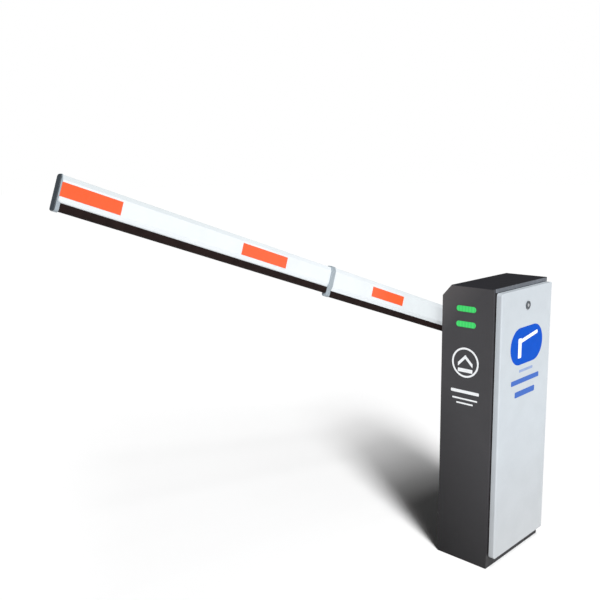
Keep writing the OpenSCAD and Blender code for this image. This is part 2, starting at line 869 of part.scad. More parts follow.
module tip_outline(grow = 0) {
    translate([0, tip_mid_z])
        octagon(tip_width + 2 * grow, tip_height + 2 * grow,
                chamfer_x - 1 + grow / 2, chamfer_z - 1 + grow / 2);
}

// Stretch of arm profile from distance a to distance b along the arm
module stretch(a, b) {
    on_arm() translate([-b, root_mid_y, 0]) along_x(b - a) children();
}

module root_boom() {
    color(boom_white) stretch(-root_tail, collar_at) difference() {
        root_outline();
        root_outline(-tube_wall);
    }
}

// Strip outline with rounded lower corners
module round_foot(top, foot, half, r) {
    translate([-half, foot + r]) square([2 * half, top - foot - r]);
    translate([-half + r, foot]) square([2 * (half - r), top - foot]);
    for (side = [-1, 1]) translate([side * (half - r), foot + r]) circle(r);
}

// Filled outline of the rubber edge, hung from the given height
module rubber_form(top, grow = 0) {
    round_foot(top, top - bumper_height - grow, bumper_width / 2 + grow, 5 + grow);
}

// Rubber edge with a hollow core
module bumper_outline(top) {
    core_r = 4;
    difference() {
        rubber_form(top);
        translate([0, top - bumper_height / 2 - 0.5]) circle(core_r);
    }
}

module root_bumper() {
    color(rubber_black) stretch(bracket_half + 4, collar_at) bumper_outline(-root_height / 2);
}

module tip_bumper() {
    color(rubber_black) stretch(collar_at + collar_length + 0.3, arm_reach - cap_boot)
        bumper_outline(tip_mid_z - tip_height / 2);
}

// Round-bottomed outline that wraps the rubber under a tube
module boot_outline(tube_bottom, foot, half) {
    round_foot(tube_bottom + 2, foot, half, half - 0.6);
}

// Outline that wraps a tube and the rubber under it
module band_outline(width, top, tube_bottom, foot, half_foot) {
    polygon([
        [width / 2, top - chamfer_z], [width / 2 - chamfer_x, top],
        [-width / 2 + chamfer_x, top], [-width / 2, top - chamfer_z],
        [-width / 2, tube_bottom + chamfer_z], [-half_foot, tube_bottom],
        [half_foot, tube_bottom], [width / 2, tube_bottom + chamfer_z]
    ]);
    boot_outline(tube_bottom, foot, half_foot);
}

// Moulded band over the root tube's end, with two rivets on each side
module joint_collar() {
    seat = 7;
    wrap = 1.6;
    bottom = -root_height / 2;
    half_foot = bumper_width / 2 + wrap;
    rivet_r = 2.6;
    rivet_t = 1.2;
    rivet_at = -collar_at - (collar_length - seat) / 2;
    color(band_grey) {
        difference() {
            stretch(collar_at - seat, collar_at + collar_length) difference() {
                band_outline(root_width + 2 * wrap, root_height / 2 + wrap, bottom,
                             bottom - bumper_height - wrap, half_foot);
                tip_outline(slide_gap / 2);
            }
            stretch(collar_at - seat - 1, collar_at) {
                root_outline(0.1);
                rubber_form(bottom, 0.1);
                translate([0, bottom]) square([bumper_width + 0.2, 4], center = true);
            }
        }
        for (spot = [[root_width / 2 + wrap, 18], [half_foot, bottom - 6]], side = [-1, 1])
            on_arm() translate([0, root_mid_y + side * spot.x, 0])
                rod_y(rivet_r, side > 0 ? -0.5 : -rivet_t, side > 0 ? rivet_t : 0.5, rivet_at, spot.y);
    }
}

module tip_boom() {
    color(boom_white) stretch(collar_at - overlap_length, arm_reach - 0.3) difference() {
        tip_outline();
        tip_outline(-tube_wall);
    }
}

cap_wrap = 1.2;
cap_drop = 2.5;
tip_bottom = tip_mid_z - tip_height / 2;
cap_top = tip_mid_z + tip_height / 2 + cap_wrap;
cap_foot = tip_bottom - bumper_height - cap_drop;
cap_half_foot = bumper_width / 2 + cap_wrap;

// Pale band round the tube's end, with a boot that closes the end of the rubber
module end_band() {
    color(band_grey) difference() {
        union() {
            stretch(arm_reach - cap_band, arm_reach)
                band_outline(tip_width + 2 * cap_wrap, cap_top, tip_bottom, cap_foot, cap_half_foot);
            stretch(arm_reach - cap_boot, arm_reach) boot_outline(tip_bottom, cap_foot, cap_half_foot);
        }
        stretch(arm_reach - cap_boot - 1, arm_reach + 1) tip_outline(0.1);
    }
}

// Dark stepped plate that closes the tube
module end_cap() {
    step = 1;
    width = tip_width + cap_wrap;
    height = cap_top - cap_foot - cap_wrap;
    corner_r = 6;
    color([0.16, 0.18, 0.20]) for (layer = [0, 1])
        stretch(arm_reach + layer * (cap_plate / 2 - eps), arm_reach + (layer + 1) * cap_plate / 2)
            translate([0, (cap_top + cap_foot) / 2])
                rounded([width - 2 * layer * step, height - 2 * layer * step], corner_r - layer * step);
}

// A pair of reflective panels, one on each face of a tube, from distance a along the arm
module reflector(a, length, width) {
    for (side = [-1, 1]) on_arm()
        translate([-a - length, root_mid_y + (side > 0 ? width / 2 : -width / 2 - reflector_t),
                   reflector_z - reflector_height / 2])
            cube([length, reflector_t, reflector_height]);
}

module root_reflectors() {
    color(reflector_orange) reflector(396, reflector_length, root_width);
}

module tip_reflectors() {
    color(reflector_orange) {
        reflector(967, reflector_length, tip_width);
        reflector(arm_reach - cap_band - 0.3 - end_reflector_length, end_reflector_length, tip_width);
    }
}

bracket_back_y = root_face_y - bracket_t;
clamp_front_y = root_face_y + root_width;
clamp_t = 6;
ear = root_height / 2 + 24;
flange_bolts_r = 38;

module on_clamp_bolts() {
    for (x = [-1, 1], z = [-1, 1]) translate([x * clamp_bolt_x, 0, z * clamp_bolt_z]) children();
}

module on_flange_bolts() {
    for (a = [45:90:315]) translate([flange_bolts_r * cos(a), 0, flange_bolts_r * sin(a)]) children();
}

// Channel bolted to the shaft flange; the root tube lies in it
module arm_bracket() {
    lip = 16;
    lip_t = 5;
    color([0.30, 0.31, 0.33]) on_arm() difference() {
        union() {
            between_y(bracket_back_y, root_face_y) rounded([2 * bracket_half, 2 * ear], 10);
            for (z = [root_height / 2, -root_height / 2 - lip_t])
                translate([-bracket_half, root_face_y - eps, z]) cube([2 * bracket_half, lip + eps, lip_t]);
        }
        on_clamp_bolts() rod_y(5.3, bracket_back_y - 1, root_face_y + 1);
        on_flange_bolts() rod_y(4.2, bracket_back_y - 1, root_face_y + 1);
    }
}

module clamp_plate() {
    color([0.30, 0.31, 0.33]) on_arm() difference() {
        between_y(clamp_front_y, clamp_front_y + clamp_t) rounded([2 * bracket_half, 2 * ear], 10);
        on_clamp_bolts() rod_y(5.3, clamp_front_y - 1, clamp_front_y + clamp_t + 1);
    }
}

module clamp_bolts() {
    nut = 7;
    color(zinc) on_arm() {
        on_clamp_bolts() {
            rod_y(5, bracket_back_y - nut - 3, clamp_front_y + clamp_t);
            rod_y(9, clamp_front_y + clamp_t - eps, clamp_front_y + clamp_t + nut, $fn = 6);
            rod_y(9, bracket_back_y - nut, bracket_back_y, $fn = 6);
        }
        on_flange_bolts() rod_y(4, flange_y, root_face_y);
    }
}

// ---------------------------------------------------------------- crank, rod and worm

// Worm wheel, output shaft and crank turn together
module crank_set() {
    tip_r = wheel_r + 1.2;
    root_r = wheel_r - 2.7;
    tooth_tip = 1.5;
    tooth_root = 2.5;
    color([0.55, 0.50, 0.38]) translate([0, 0, output_height]) union() {
        rotate([0, 180 + lever_angle, 0]) {
            between_y(lever_y[0], lever_y[1]) lever_outline(24, lever_end_r, crank_radius);
            rod_y(pin_r, rod_span[0] - 4, lever_y[0] + eps, crank_radius);
        }
        rod_y(output_r, lever_y[0], plate_front_y - 1);
        between_y(worm_y - wheel_width / 2, worm_y + wheel_width / 2) {
            circle(root_r);
            for (tooth = [0:wheel_teeth - 1]) rotate(tooth * 360 / wheel_teeth) polygon([
                [root_r - 1, -tooth_root / 2], [tip_r, -tooth_tip / 2],
                [tip_r, tooth_tip / 2], [root_r - 1, tooth_root / 2]
            ]);
        }
    }
}

pin_x = -crank_radius * cos(lever_angle);
pin_dz = crank_radius * sin(lever_angle);

// Tie rod with a threaded eye at each end, so that its length can be set
module connecting_rod() {
    eye_r = 16;
    color([0.66, 0.66, 0.62]) translate([pin_x, 0, output_height + pin_dz]) difference() {
        union() {
            for (z = [0, rod_length]) rod_y(eye_r, rod_span[0], rod_span[1], z = z);
            translate([0, (rod_span[0] + rod_span[1]) / 2, eye_r - 4]) {
                cylinder(r = 4.8, h = rod_length - 2 * (eye_r - 4));
                translate([0, 0, 50]) cylinder(r = 9, h = rod_length - 2 * (eye_r - 4) - 100, $fn = 6);
                for (z = [36, rod_length - 2 * (eye_r - 4) - 44])
                    translate([0, 0, z]) cylinder(r = 9, h = 8, $fn = 6);
            }
        }
        for (z = [0, rod_length]) rod_y(pin_r + 0.08, rod_span[0] - 1, rod_span[1] + 1, z = z);
    }
}

worm_length = 7 * worm_pitch;
worm_bottom_z = output_height - worm_length / 2;
knob_z = gear_top_z + 22;
knob_h = 18;

// Motor shaft with its worm, and the knob that turns it by hand in a power cut
module worm_and_knob() {
    shaft_bottom_z = gear_bottom_z - 30;
    grips = 12;
    color([0.70, 0.70, 0.73]) translate([worm_x, worm_y, 0]) union() {
        translate([0, 0, shaft_bottom_z]) cylinder(r = 8, h = knob_z + eps - shaft_bottom_z);
        translate([0, 0, worm_bottom_z]) rotate(180)
            linear_extrude(worm_length, twist = -360 * worm_length / worm_pitch, slices = 70, $fn = 14)
                translate([worm_wobble, 0]) circle(worm_r);
        translate([0, 0, knob_z]) {
            cylinder(r = 19, h = knob_h);
            for (grip = [0:grips - 1]) rotate(grip * 360 / grips) translate([18, 0, 0])
                cylinder(r = 3, h = knob_h, $fn = 16);
        }
    }
}

cabinet_shell();
top_cover();
base_plate();
cable_grommet();
door_gasket();
upper_light_lens();
lower_light_lens();
light_board();
shaft_rosette();
machine_plate();
plate_standoffs();
bearing_housing();
shaft_bearings();
drive_bolts();
gearbox_housing();
gearbox_cover();
motor_body();
motor_end_cap();
drip_strip();
stop_studs();
stop_buffers();
position_sensor();
spring_anchor();
balance_spring();
control_box();
control_box_lid();
control_board();
power_supply();
din_rail();
circuit_breaker();
terminal_block();
door_hinge_leaves();
door_panel();
door_stiffeners();
door_knuckles();
door_hinge_pins();
lock_body();
lock_plug();
lock_cam();
breaker_toggle();
main_shaft();
shaft_flange();
position_disc();
rod_lever();
spring_collar();
arm_bracket();
clamp_plate();
clamp_bolts();
root_boom();
root_bumper();
joint_collar();
root_reflectors();
tip_boom();
tip_bumper();
end_band();
end_cap();
tip_reflectors();
crank_set();
connecting_rod();
worm_and_knob();
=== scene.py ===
import json
import math

import bmesh
import bpy
from mathutils import Matrix, Vector


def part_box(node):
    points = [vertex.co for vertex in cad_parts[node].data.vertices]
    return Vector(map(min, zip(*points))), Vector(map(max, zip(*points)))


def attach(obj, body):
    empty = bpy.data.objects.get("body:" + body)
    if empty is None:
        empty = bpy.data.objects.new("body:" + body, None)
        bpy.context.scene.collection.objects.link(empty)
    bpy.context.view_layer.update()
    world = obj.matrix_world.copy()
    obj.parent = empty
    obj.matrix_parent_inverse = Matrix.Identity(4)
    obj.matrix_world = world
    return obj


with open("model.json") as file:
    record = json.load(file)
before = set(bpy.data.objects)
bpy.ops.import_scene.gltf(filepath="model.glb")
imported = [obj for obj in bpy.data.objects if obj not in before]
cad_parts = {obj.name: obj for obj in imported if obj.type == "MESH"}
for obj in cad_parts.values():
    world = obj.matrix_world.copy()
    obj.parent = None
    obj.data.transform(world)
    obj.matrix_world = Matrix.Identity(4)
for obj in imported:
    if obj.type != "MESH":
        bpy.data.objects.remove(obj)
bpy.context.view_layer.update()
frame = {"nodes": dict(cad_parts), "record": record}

nodes = frame["nodes"]


# ---------------------------------------------------------------- camera
CAMERA_AT = (-2.4018, -1.3780, 1.4141)
CAMERA_AZIMUTH, CAMERA_ELEVATION, CAMERA_ROLL = -45.52, 10.08, -0.78
CAMERA_LENS = 45.65
CAMERA_SENSOR = 36


def make_camera():
    """The azimuth is that of the side the camera stands on, from -Y towards +X; the angles are in degrees."""
    az, el, roll = (math.radians(a) for a in (CAMERA_AZIMUTH, CAMERA_ELEVATION, CAMERA_ROLL))
    back = Vector((math.sin(az) * math.cos(el), -math.cos(az) * math.cos(el), math.sin(el)))
    right = Vector((0, 0, 1)).cross(back).normalized()
    up = back.cross(right)
    rolled_right = right * math.cos(roll) + up * math.sin(roll)
    rolled_up = up * math.cos(roll) - right * math.sin(roll)
    cam = bpy.data.cameras.new("camera")
    cam.sensor_width = CAMERA_SENSOR
    cam.lens = CAMERA_LENS
    cam.clip_end = 200
    obj = bpy.data.objects.new("camera", cam)
    bpy.context.collection.objects.link(obj)
    basis = Matrix((rolled_right, rolled_up, back)).transposed().to_4x4()
    obj.matrix_world = Matrix.Translation(CAMERA_AT) @ basis
    bpy.context.scene.camera = obj


make_camera()


# ---------------------------------------------------------------- node helpers
class Graph:
    """A short way to write a material's node tree."""

    def __init__(self, name):
        self.mat = bpy.data.materials.new(name)
        self.mat.use_nodes = True
        self.tree = self.mat.node_tree
        self.tree.nodes.clear()
        self.out = self.node("OutputMaterial")
        self.shader = self.node("BsdfPrincipled")
        self.link(self.shader, "BSDF", self.out, "Surface")
        self.coord = self.node("TexCoord").outputs["Object"]

    def node(self, kind, **values):
        """A node with these properties or input values; an underscore in a name stands for a space."""
        n = self.tree.nodes.new("ShaderNode" + kind)
        for key, value in values.items():
            if hasattr(n, key):
                setattr(n, key, value)
            else:
                n.inputs[key.replace("_", " ")].default_value = value
        return n

    def link(self, a, out, b, into):
        """Links a's output to b's input. If a is a socket already, out isn't used."""
        src = a.outputs[out] if not isinstance(a, bpy.types.NodeSocket) else a
        self.tree.links.new(src, b.inputs[into])

    def scaled(self, scale, rotation=(0, 0, 0)):
        m = self.node("Mapping")
        m.inputs["Scale"].default_value = scale
        m.inputs["Rotation"].default_value = rotation
        self.link(self.coord, None, m, "Vector")
        return m.outputs["Vector"]

    def noise(self, scale, detail=4, rough=0.55, vector=None):
        n = self.node("TexNoise", Scale=scale, Detail=detail, Roughness=rough)
        self.link(vector or self.coord, None, n, "Vector")
        return n.outputs["Fac"]

    def ramp(self, fac, stops):
        """Blends between two stops, each a position and a colour."""
        n = self.node("ValToRGB")
        self.link(fac, None, n, "Fac")
        for e, (pos, col) in zip(n.color_ramp.elements, stops):
            e.position = pos
            e.color = (*col, 1)
        return n.outputs["Color"]

    def range(self, fac, lo, hi, from_lo=0.0, from_hi=1.0):
        """Maps from_lo..from_hi onto lo..hi, clamped."""
        n = self.node("MapRange")
        self.link(fac, None, n, "Value")
        n.inputs["From Min"].default_value = from_lo
        n.inputs["From Max"].default_value = from_hi
        n.inputs["To Min"].default_value = lo
        n.inputs["To Max"].default_value = hi
        return n.outputs["Result"]

    def math(self, op, a, b=None):
        n = self.node("Math", operation=op)
        for i, v in enumerate((a, b)):
            if v is None:
                continue
            if isinstance(v, (int, float)):
                n.inputs[i].default_value = v
            else:
                self.tree.links.new(v, n.inputs[i])
        return n.outputs[0]

    def mix(self, fac, a, b, blend="MIX"):
        n = self.node("Mix", data_type="RGBA", blend_type=blend)
        for key, v in (("Factor", fac), ("A", a), ("B", b)):
            sock = [s for s in n.inputs if s.name == key and s.enabled][0]
            if isinstance(v, bpy.types.NodeSocket):
                self.tree.links.new(v, sock)
            elif key == "Factor":
                sock.default_value = v
            else:
                sock.default_value = (*v, 1)
        return [s for s in n.outputs if s.name == "Result" and s.enabled][0]

    def axis(self, name):
        n = self.node("SeparateXYZ")
        self.link(self.coord, None, n, "Vector")
        return n.outputs[name]

    def normal(self, name):
        n = self.node("SeparateXYZ")
        self.link(self.node("TexCoord").outputs["Normal"], None, n, "Vector")
        return n.outputs[name]

    def bump(self, height, strength, distance):
        n = self.node("Bump", Strength=strength, Distance=distance)
        self.link(height, None, n, "Height")
        self.link(n, "Normal", self.shader, "Normal")

    def set(self, **values):
        for key, v in values.items():
            sock = self.shader.inputs[key.replace("_", " ")]
            if isinstance(v, bpy.types.NodeSocket):
                self.tree.links.new(v, sock)
            elif sock.type == "RGBA":
                sock.default_value = (*v, 1)
            else:
                sock.default_value = v
        return self


def shade(c, k):
    """This colour, made k times brighter."""
    return tuple(min(1.0, x * k) for x in c)


# ---------------------------------------------------------------- materials
def powder_coat(name, col, rough, peel, foot=None, reach=(0.0, 0.75), lean=0.0, corner=None,
                top_shade=None, spec=0.5):
    """Sprayed and baked paint with orange peel.

    Foot darkens and tints it near the floor, over the heights in reach; lean makes the tint climb towards +Y.
    On the dark paint this is painted shade; on the door paint it is only darker and warmer towards the
    bottom.
    Corner lightens the upper +Y corner: a painted highlight. The colour for upper faces is painted shade,
    patchy, which thins out towards the shaft; faces that point down get painted light instead.
    """
    g = Graph(name)
    c = g.ramp(g.noise(9, 5, 0.6), [(0.3, shade(col, 0.96)), (0.7, shade(col, 1.04))])
    c = g.mix(g.range(g.noise(420, 2, 0.5), 0, 0.35, 0.62, 0.8), c, shade(col, 1.25))
    # Painted shade on the dark paint: darker towards the floor and, with lean, towards +Y. On the door paint
    # the foot is darker and warmer towards the bottom.
    if foot:
        height = g.math("SUBTRACT", g.axis("Z"), g.math("MULTIPLY", g.axis("Y"), lean))
        c = g.mix(g.range(height, 1, 0, *reach), c, g.mix(1.0, c, foot, "MULTIPLY"))
    # Painted highlight: the upper +Y corner is made lighter.
    if corner:
        near = g.range(g.math("ADD", g.axis("Z"), g.axis("Y")), 0, 1, 0.92, 1.06)
        c = g.mix(near, c, corner)
    # Painted shade: faces that point up are darker, patchy, and less so towards the shaft.
    if top_shade:
        up = g.range(g.normal("Z"), 0, 1, 0.2, 0.45)
        patchy = g.range(g.noise(11, 6, 0.7), 0.85, 1.0, 0.3, 0.7)
        outer = g.range(g.axis("X"), 1.0, 0.35, -1.25, -0.75)
        c = g.mix(g.math("MULTIPLY", g.math("MULTIPLY", up, patchy), outer), c, top_shade)
        # Painted light: faces that point down are made lighter.
        c = g.mix(g.range(g.normal("Z"), 1, 0, -0.45, -0.2), c, shade(col, 1.22))
    r = g.range(g.noise(35, 6, 0.7), rough - 0.06, rough + 0.09, 0.3, 0.7)
    g.bump(g.noise(850, 3, 0.5), peel, 0.0004)
    return g.set(Base_Color=c, Roughness=r, Specular_IOR_Level=spec).mat


def metal(name, col, rough, grain=(1, 1, 1), spangle=0.0):
    """Bare or plated metal. Grain stretches the brushed lines; spangle is how much zinc crystal shows."""
    g = Graph(name)
    lines = g.noise(260, 4, 0.6, g.scaled(grain))
    c = g.ramp(g.noise(16, 5, 0.6), [(0.3, shade(col, 0.86)), (0.72, shade(col, 1.08))])
    if spangle:
        v = g.node("TexVoronoi", Scale=70)
        g.link(g.coord, None, v, "Vector")
        c = g.mix(spangle, c, g.ramp(v.outputs["Color"], [(0.2, shade(col, 0.7)), (0.8, shade(col, 1.15))]))
    r = g.range(lines, rough - 0.1, rough + 0.14, 0.3, 0.7)
    g.bump(lines, 0.14, 0.0003)
    return g.set(Base_Color=c, Metallic=1.0, Roughness=r).mat


def rubber(name, col):
    """Matt moulded rubber with a fine skin."""
    g = Graph(name)
    c = g.ramp(g.noise(40, 5, 0.65), [(0.3, shade(col, 0.8)), (0.75, shade(col, 1.5))])
    g.bump(g.noise(1300, 3, 0.6), 0.35, 0.0004)
    r = g.range(g.noise(60, 4, 0.6), 0.52, 0.72, 0.3, 0.7)
    return g.set(Base_Color=c, Roughness=r, Specular_IOR_Level=0.09).mat


def plastic(name, col, rough=0.38):
    """Moulded plastic with a faint grain."""
    g = Graph(name)
    c = g.ramp(g.noise(28, 4, 0.6), [(0.3, shade(col, 0.93)), (0.7, shade(col, 1.06))])
    r = g.range(g.noise(90, 4, 0.6), rough - 0.06, rough + 0.08, 0.3, 0.7)
    g.bump(g.noise(1100, 2, 0.5), 0.2, 0.0003)
    return g.set(Base_Color=c, Roughness=r).mat


def lens_material(name):
    """Clear green cover, lit from behind by a row of lamps."""
    first_lamp, lamp_pitch = 0.0265, 0.012
    g = Graph(name)
    along = g.math("ADD", g.axis("Y"), first_lamp)
    lamps = g.math("SINE", g.math("MULTIPLY", along, 2 * math.pi / lamp_pitch))
    glow = g.range(lamps, 0.86, 1.12, -1, 1)
    c = g.mix(g.range(glow, 0, 1, 0.86, 1.12), (0.028, 0.420, 0.088), (0.038, 0.485, 0.107))
    g.bump(g.noise(600, 3, 0.5), 0.08, 0.0003)
    return g.set(Base_Color=c, Roughness=0.22, Emission_Color=c, Emission_Strength=0.38,
                 Specular_IOR_Level=0.2, Coat_Weight=0.15, Coat_Roughness=0.1).mat


def reflective_film(name, col):
    """Prismatic sheeting: a fine honeycomb of slightly different tones."""
    g = Graph(name)
    v = g.node("TexVoronoi", Scale=240, Randomness=0.15)
    g.link(g.coord, None, v, "Vector")
    cell = g.range(v.outputs["Distance"], 0, 1, 0.0, 0.6)
    c = g.mix(cell, shade(col, 1.04), shade(col, 0.90))
    c = g.mix(g.range(g.noise(14, 4, 0.6), 0, 0.25, 0.4, 0.7), c, shade(col, 1.12))
    g.bump(cell, 0.12, 0.0002)
    return g.set(Base_Color=c, Roughness=0.30, Specular_IOR_Level=0.3, Coat_Weight=0.15,
                 Coat_Roughness=0.15).mat


def circuit_board(name):
    """Green board with lighter tracks between rectangular fields."""
    g = Graph(name)
    b = g.node("TexBrick", Scale=1.0, Mortar_Size=0.0006, Brick_Width=0.011, Row_Height=0.005)
    b.inputs["Color1"].default_value = (0.012, 0.10, 0.045, 1)
    b.inputs["Color2"].default_value = (0.016, 0.13, 0.06, 1)
    b.inputs["Mortar"].default_value = (0.05, 0.27, 0.12, 1)
    g.link(g.scaled((1, 1, 1), (math.pi / 2, 0, 0)), None, b, "Vector")
    g.bump(g.noise(700, 3, 0.5), 0.1, 0.0002)
    return g.set(Base_Color=b.outputs["Color"], Roughness=0.35).mat


M = {
    # dark_paint: painted shade near the floor, climbing towards +Y, and a painted highlight in the upper +Y
    # corner
    "dark_paint": powder_coat("dark_paint", (0.052, 0.051, 0.055), 0.52, 0.3, foot=(0.155, 0.145, 0.15),
                              reach=(-0.1, 0.55), lean=1.1, corner=(0.088, 0.082, 0.084), spec=0.2),
    "black_paint": powder_coat("black_paint", (0.022, 0.022, 0.026), 0.55, 0.3, spec=0.2),
    "door_paint": powder_coat("door_paint", (0.456, 0.495, 0.529), 0.42, 0.2, foot=(0.829, 0.795, 0.770),
                              reach=(0.0, 0.52), spec=0.4),
    # white_paint: painted shade on faces that point up, painted light on faces that point down
    "white_paint": powder_coat("white_paint", (0.66, 0.695, 0.72), 0.36, 0.12,
                               top_shade=(0.50, 0.54, 0.555), spec=0.3),
    "cast_paint": powder_coat("cast_paint", (0.16, 0.19, 0.22), 0.5, 0.8),
    "zinc": metal("zinc", (0.60, 0.60, 0.57), 0.40, spangle=0.5),
    "machined": metal("machined", (0.56, 0.57, 0.59), 0.28, grain=(1, 6, 1)),
    "spring_steel": metal("spring_steel", (0.06, 0.06, 0.065), 0.40),
    "rubber": rubber("rubber", (0.012, 0.0065, 0.006)),
    "lens": lens_material("lens"),
    "board": circuit_board("board"),
    "orange_film": reflective_film("orange_film", (0.84, 0.105, 0.030)),
    "grey_plastic": plastic("grey_plastic", (0.29, 0.335, 0.37)),
    "slate_plastic": plastic("slate_plastic", (0.045, 0.055, 0.065), 0.3),
    "pale_plastic": plastic("pale_plastic", (0.62, 0.63, 0.61), 0.45),
    "black_plastic": plastic("black_plastic", (0.022, 0.022, 0.024), 0.4),
    "blue_plastic": plastic("blue_plastic", (0.03, 0.08, 0.34), 0.35),
    "bronze": metal("bronze", (0.50, 0.36, 0.17), 0.34),
    "aluminium": metal("aluminium", (0.375, 0.40, 0.445), 0.55, grain=(1, 8, 8)),
    "chrome": metal("chrome", (0.70, 0.71, 0.73), 0.14),
}

slot_of = {s["node"]: s["material_slot"] for s in frame["record"]["subparts"]}
for name, obj in nodes.items():
    obj.data.materials.clear()
    obj.data.materials.append(M[slot_of[name]])


# ---------------------------------------------------------------- printed films and marks
def link_object(name, bm, material, body):
    """Makes the mesh an object that rides on this body."""
    me = bpy.data.meshes.new(name)
    bm.normal_update()
    bm.to_mesh(me)
    bm.free()
    me.materials.append(material)
    obj = bpy.data.objects.new(name, me)
    bpy.context.collection.objects.link(obj)
    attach(obj, body)
    return obj


def rounded_rect(w, h, r, steps=8):
    """The outline of a w by h rectangle with corners of radius r, about its middle."""
    pts = []
    for cx, cy, start in ((w / 2 - r, h / 2 - r, 0), (-w / 2 + r, h / 2 - r, 90),
                          (-w / 2 + r, -h / 2 + r, 180), (w / 2 - r, -h / 2 + r, 270)):
        for i in range(steps + 1):
            a = math.radians(start + 90 * i / steps)
            pts.append((cx + r * math.cos(a), cy + r * math.sin(a)))
    return pts


def moved(pts, dx, dy, turn=0.0):
    """This outline, turned and then moved."""
    c, s = math.cos(turn), math.sin(turn)
    return [(dx + x * c - y * s, dy + x * s + y * c) for x, y in pts]


def plate(bm, place, pts, t, inner=None):
    """A thin plate with this outline, and with a hole if inner is given.

    Place maps across, up and the height above the surface to the row frame.
    """
    lo = [bm.verts.new(place(u, v, 0)) for u, v in pts]
    hi = [bm.verts.new(place(u, v, t)) for u, v in pts]
    n = len(pts)
    for i in range(n):
        bm.faces.new((lo[i], lo[(i + 1) % n], hi[(i + 1) % n], hi[i]))
    if inner is None:
        bm.faces.new(hi)
        bm.faces.new(lo[::-1])
        return
    lo2 = [bm.verts.new(place(u, v, 0)) for u, v in inner]
    hi2 = [bm.verts.new(place(u, v, t)) for u, v in inner]
    for i in range(n):
        j = (i + 1) % n
        bm.faces.new((hi[i], hi[j], hi2[j], hi2[i]))
        bm.faces.new((lo[j], lo[i], lo2[i], lo2[j]))
        bm.faces.new((hi2[i], hi2[j], lo2[j], lo2[i]))


def disc(r):
    """The outline of a circle about its middle."""
    n = 64
    return [(r * math.cos(2 * math.pi * i / n), r * math.sin(2 * math.pi * i / n)) for i in range(n)]


def film(name, col):
    """Printed adhesive film."""
    g = Graph(name)
    c = g.ramp(g.noise(30, 4, 0.6), [(0.3, shade(col, 0.94)), (0.7, shade(col, 1.04))])
    r = g.range(g.noise(120, 4, 0.6), 0.30, 0.43, 0.3, 0.7)
    g.bump(g.noise(900, 2, 0.5), 0.1, 0.0002)
    return g.set(Base_Color=c, Roughness=r, Specular_IOR_Level=0.02).mat


BLUE = film("blue_film", (0.002, 0.070, 0.46))
WHITE = film("white_film", (0.84, 0.86, 0.88))
MID_BLUE = film("mid_blue_film", (0.055, 0.130, 0.43))
PALE_BLUE = film("pale_blue_film", (0.26, 0.33, 0.52))

FILM_THICK = 0.0002
door_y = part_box("door_panel")[0].y
face_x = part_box("cabinet_shell")[0].x


def on_door(u, v, h):
    return (u, door_y - h, v)


def on_face(u, v, h):
    return (face_x - h, -u, v)


def bar(bm, place, size, at, t, turn=0.0, corner=0.003):
    """A bar of this width and height, with its middle at this place."""
    plate(bm, place, moved(rounded_rect(*size, corner), *at, turn), t)


def door_marks():
    """A plain badge with a post and a sloping bar, and plain bars under it."""
    bm = bmesh.new()
    plate(bm, on_door, moved(rounded_rect(0.226, 0.132, 0.0655, 14), 0.003, 0.785), FILM_THICK)
    link_object("door_badge", bm, BLUE, "door")
    bm = bmesh.new()
    bar(bm, on_door, (0.196, 0.018), (0.0, 0.660), FILM_THICK, corner=0.004)
    bar(bm, on_door, (0.140, 0.021), (0.0, 0.614), FILM_THICK, corner=0.004)
    link_object("door_badge_bars", bm, MID_BLUE, "door")
    bm = bmesh.new()
    bar(bm, on_door, (0.022, 0.070), (-0.046, 0.779), 2 * FILM_THICK, corner=0.004)
    bar(bm, on_door, (0.116, 0.013), (0.020, 0.812), 2.5 * FILM_THICK, turn=math.radians(9), corner=0.005)
    link_object("door_badge_sign", bm, WHITE, "door")
    bm = bmesh.new()
    bar(bm, on_door, (0.096, 0.010), (0.003, 0.696), FILM_THICK)
    link_object("door_badge_bar", bm, PALE_BLUE, "door")


def face_marks():
    """A plain ring with a chevron over a bar in it, and plain bars under it."""
    ring_at = (-0.003, 0.733)
    bm = bmesh.new()
    plate(bm, on_face, moved(disc(0.053), *ring_at), FILM_THICK, moved(disc(0.0465), *ring_at))
    half, rise, thick = 0.029, 0.029, 0.013
    foot = -0.010
    chevron = [(-half, foot), (0, foot + rise), (half, foot), (half, foot + thick),
               (0, foot + rise + thick), (-half, foot + thick)]
    plate(bm, on_face, moved(chevron, -0.003, 0.728), FILM_THICK)
    bar(bm, on_face, (2 * half, thick), (-0.003, 0.705), FILM_THICK, corner=0.002)
    bar(bm, on_face, (0.112, 0.011), (-0.002, 0.628), FILM_THICK)
    bar(bm, on_face, (0.100, 0.0055), (-0.002, 0.602), FILM_THICK, corner=0.002)
    bar(bm, on_face, (0.066, 0.0055), (-0.002, 0.586), FILM_THICK, corner=0.002)
    link_object("face_sign", bm, WHITE, "cabinet")


door_marks()
face_marks()


# ---------------------------------------------------------------- softened edges on the CAD pieces
def soften(name, width):
    """Rounds this node's sharp edges a little. Its flat faces are joined first, so that the bevel is even."""
    o = nodes[name]
    weld = o.modifiers.new("weld", "WELD")
    weld.merge_threshold = 0.00002
    flat = o.modifiers.new("flat", "DECIMATE")
    flat.decimate_type = "DISSOLVE"
    flat.angle_limit = math.radians(0.5)
    bevel = o.modifiers.new("bevel", "BEVEL")
    bevel.width = width
    bevel.segments = 2
    bevel.limit_method = "ANGLE"
    bevel.angle_limit = math.radians(24)
    o.modifiers.new("normals", "WEIGHTED_NORMAL").weight = 60


